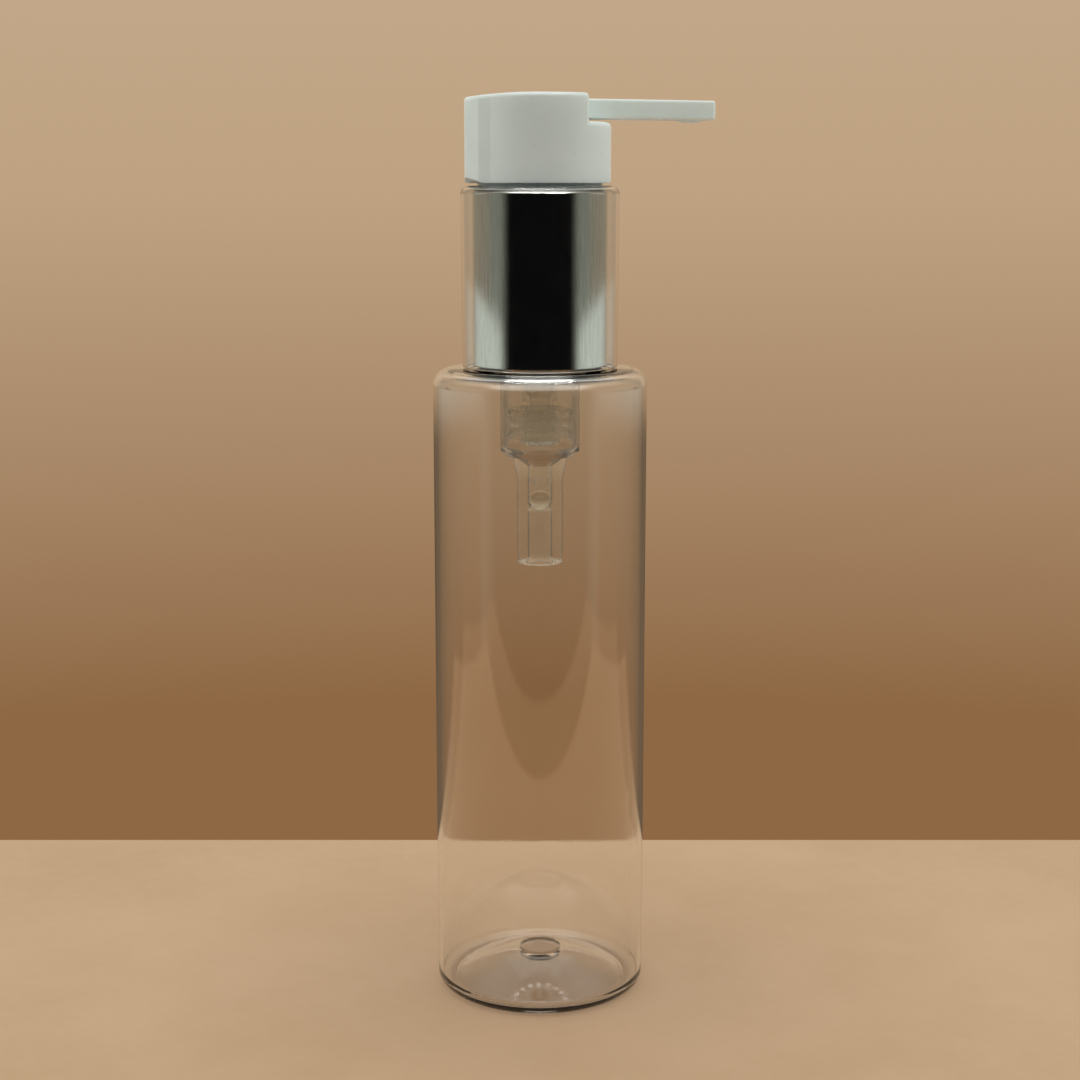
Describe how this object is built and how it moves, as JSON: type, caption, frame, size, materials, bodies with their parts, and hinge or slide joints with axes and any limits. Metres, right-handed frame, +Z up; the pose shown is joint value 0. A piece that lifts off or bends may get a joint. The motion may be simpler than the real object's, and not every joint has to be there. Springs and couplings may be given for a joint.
{
  "type": "pump oil bottle",
  "caption": "Clear cylindrical oil bottle with a screw-on pump: a metallised collar under a clear cover, and a white head with a long flat spout.",
  "frame": {"origin": "bottle's axis, on the plane that the bottle stands on", "axes": "+Z up along the bottle's axis, +X towards the spout's tip with the head at rest"},
  "size_m": [0.0573, 0.0424, 0.1808],
  "materials": {
    "clear_body": "clear moulded PET",
    "clear_cover": "clear moulded styrene",
    "silver": "bright metallised, faint vertical grain",
    "head_white": "milky white polypropylene, semi-gloss",
    "closure_white": "white polypropylene",
    "natural_pp": "natural translucent polypropylene",
    "seal": "soft translucent white polyethylene",
    "gasket_foam": "closed-cell polyethylene foam",
    "ball_glass": "polished glass ball",
    "spring_steel": "drawn stainless wire"
  },
  "bodies": {
    "bottle": {"bottle": "clear_body"},
    "pump": {"pump_housing": "natural_pp", "chaplet": "natural_pp", "stem_wiper": "seal", "neck_gasket": "gasket_foam", "return_spring": "spring_steel"},
    "closure": {"threaded_closure": "closure_white", "silver_sleeve": "silver", "clear_cover": "clear_cover"},
    "stem": {"stem": "natural_pp", "piston_seat": "natural_pp"},
    "piston": {"piston": "seal"},
    "head": {"head_shell": "head_white", "actuator_core": "head_white", "spout": "head_white"},
    "inlet_ball": {"inlet_ball": "ball_glass"}
  },
  "joints": [
    {"name": "closure_turn", "type": "hinge", "parent": "pump", "child": "closure", "pos_m": [0, 0, 0.138], "axis": [0, 0, 1], "range_deg": [0, 540]},
    {"name": "pump_lift", "type": "slide", "parent": "bottle", "child": "pump", "axis": [0, 0, 1], "range_m": [0, 0.00476]},
    {"name": "head_slide", "type": "slide", "parent": "pump", "child": "stem", "axis": [0, 0, 1], "range_m": [0, 0.012], "deforming": ["return_spring"]},
    {"name": "head_swivel", "type": "hinge", "parent": "stem", "child": "head", "pos_m": [0, 0, 0.1665], "axis": [0, 0, 1], "continuous": true},
    {"name": "piston_lag", "type": "slide", "parent": "stem", "child": "piston", "axis": [0, 0, 1], "range_m": [0, 0.0011]},
    {"name": "inlet_ball_lift", "type": "slide", "parent": "pump", "child": "inlet_ball", "axis": [0, 0, 1], "range_m": [0, 0.0011]}
  ],
  "couplings": [
    {"joint": "pump_lift", "follows": "closure_turn", "m_per_rad": 0.00050532}
  ]
}
